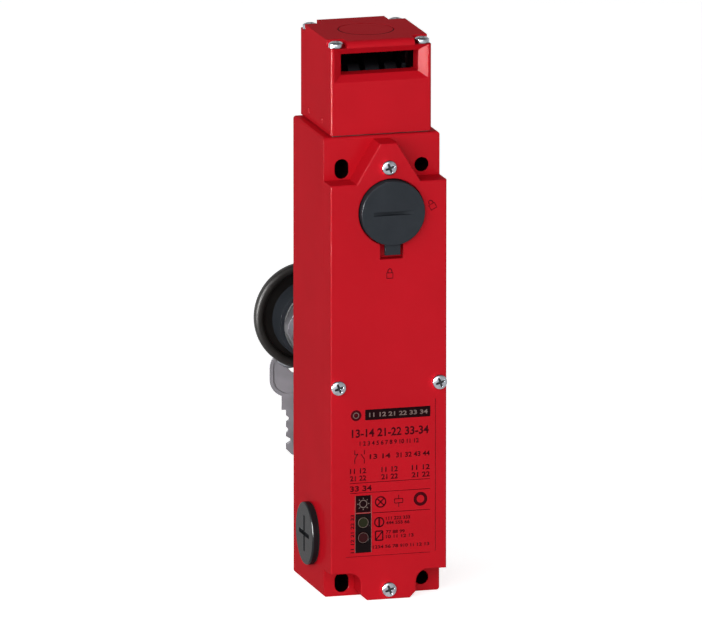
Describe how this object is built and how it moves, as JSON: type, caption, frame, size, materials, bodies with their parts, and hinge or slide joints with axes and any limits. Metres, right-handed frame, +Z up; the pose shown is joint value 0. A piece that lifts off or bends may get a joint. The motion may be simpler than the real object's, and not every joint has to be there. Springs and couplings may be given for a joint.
{
  "type": "tongue interlock switch",
  "caption": "Metal guard-locking switch with a slotted turret head, front release selector, status lamps, side cable entries and a rear mushroom release button with keys.",
  "frame": {"origin": "centre of the four fixing holes' pattern, on the back face of the case", "axes": "+X to the right seen from the front, +Y out of the back along the release button's axis, +Z up the long side towards the turret head"},
  "size_m": [0.0463, 0.1434, 0.2047],
  "materials": {
    "red_enamel": "satin red enamel on die-cast zinc alloy",
    "bright_steel": "bright zinc-plated steel",
    "zinc_steel": "zinc-plated pressed steel",
    "nickel_metal": "nickel-plated brass",
    "grey_plastic": "dark grey glass-filled polyamide",
    "black_plastic": "black moulded plastic",
    "black_gloss": "black polycarbonate window",
    "rubber": "black nitrile rubber",
    "moulding": "cream contact-block moulding",
    "copper": "enamelled copper winding",
    "brass": "brass contact strip",
    "green_lens": "green light pipe",
    "board": "green glass-epoxy board"
  },
  "bodies": {
    "switch_body": {"main_housing": "red_enamel", "front_cover": "red_enamel", "cover_gasket": "rubber", "cover_screws": "bright_steel", "turret_head": "red_enamel", "head_gasket": "rubber", "head_screws": "bright_steel", "head_top_disc": "red_enamel", "cam_carrier": "zinc_steel", "cam_axle": "bright_steel", "contact_block_left": "moulding", "contact_block_right": "moulding", "contact_block_screws": "bright_steel", "fixed_contacts": "brass", "terminal_screws": "bright_steel", "drive_spring": "bright_steel", "solenoid_frame": "zinc_steel", "solenoid_screws": "bright_steel", "coil_bobbin": "black_plastic", "coil_winding": "copper", "solenoid_core": "zinc_steel", "armature_spring": "bright_steel", "lever_pin": "bright_steel", "selector_seal": "rubber", "lamp_strip": "black_gloss", "lamp_lenses": "green_lens", "lamp_board": "board", "status_lamps": "green_lens", "board_screws": "bright_steel", "cable_entry_plug": "grey_plastic", "cable_plug_seal": "rubber", "earth_screw": "bright_steel", "earth_clamp": "zinc_steel", "release_tube": "zinc_steel", "release_nut": "zinc_steel", "release_washer": "rubber", "release_bezel": "grey_plastic", "button_spring": "bright_steel"},
    "cam": {"cam_drum": "zinc_steel"},
    "drive": {"drive_pin": "zinc_steel", "drive_slide": "zinc_steel", "contact_carrier": "moulding", "contact_bridges": "brass"},
    "armature": {"armature": "zinc_steel", "push_rod": "zinc_steel", "push_rod_pin": "bright_steel"},
    "lock_lever": {"lock_lever": "zinc_steel"},
    "selector": {"selector_cap": "grey_plastic", "selector_shaft": "zinc_steel", "selector_clip": "zinc_steel"},
    "release_button": {"mushroom_head": "black_plastic", "release_rod": "zinc_steel", "lock_barrel": "nickel_metal"},
    "lock_key": {"lock_plug": "nickel_metal", "lock_key": "nickel_metal"},
    "key_ring": {"key_ring": "bright_steel"},
    "spare_key": {"spare_key": "nickel_metal"}
  },
  "joints": [
    {"name": "cam_turn", "type": "hinge", "parent": "switch_body", "child": "cam", "pos_m": [0, -0.0205, 0.10595], "axis": [-1, 0, 0], "range_deg": [0, 60]},
    {"name": "drive_stroke", "type": "slide", "parent": "switch_body", "child": "drive", "axis": [0, 0, 1], "range_m": [0, 0.004], "deforming": ["drive_spring"]},
    {"name": "armature_pull", "type": "slide", "parent": "switch_body", "child": "armature", "axis": [0, 0, 1], "range_m": [0, 0.0025], "stiffness_N_per_m": 250, "springref_m": -0.004, "deforming": ["armature_spring"]},
    {"name": "lever_tilt", "type": "hinge", "parent": "switch_body", "child": "lock_lever", "pos_m": [0, -0.037, 0.054], "axis": [1, 0, 0], "range_deg": [0, 14.4]},
    {"name": "selector_turn", "type": "hinge", "parent": "switch_body", "child": "selector", "pos_m": [0.001, -0.045, 0.06185], "axis": [0, -1, 0], "range_deg": [0, 90]},
    {"name": "button_push", "type": "slide", "parent": "switch_body", "child": "release_button", "axis": [0, -1, 0], "range_m": [0, 0.005], "stiffness_N_per_m": 900, "springref_m": -0.003, "deforming": ["button_spring"]},
    {"name": "key_turn", "type": "hinge", "parent": "release_button", "child": "lock_key", "pos_m": [0, 0.0635, 0], "axis": [0, 1, 0], "range_deg": [0, 90]},
    {"name": "ring_swing", "type": "hinge", "parent": "lock_key", "child": "key_ring", "pos_m": [0.0012, 0.08145, 0], "axis": [0.7986, 0.6018, 0], "range_deg": [-20, 20]},
    {"name": "spare_key_swing", "type": "hinge", "parent": "key_ring", "child": "spare_key", "pos_m": [0.0024, 0.08145, -0.024], "axis": [0.7986, 0.6018, 0], "range_deg": [-20, 20]}
  ],
  "couplings": [
    {"joint": "cam_turn", "follows": "drive_stroke", "rad_per_m": 261.8},
    {"joint": "lever_tilt", "follows": "armature_pull", "rad_per_m": 100}
  ]
}
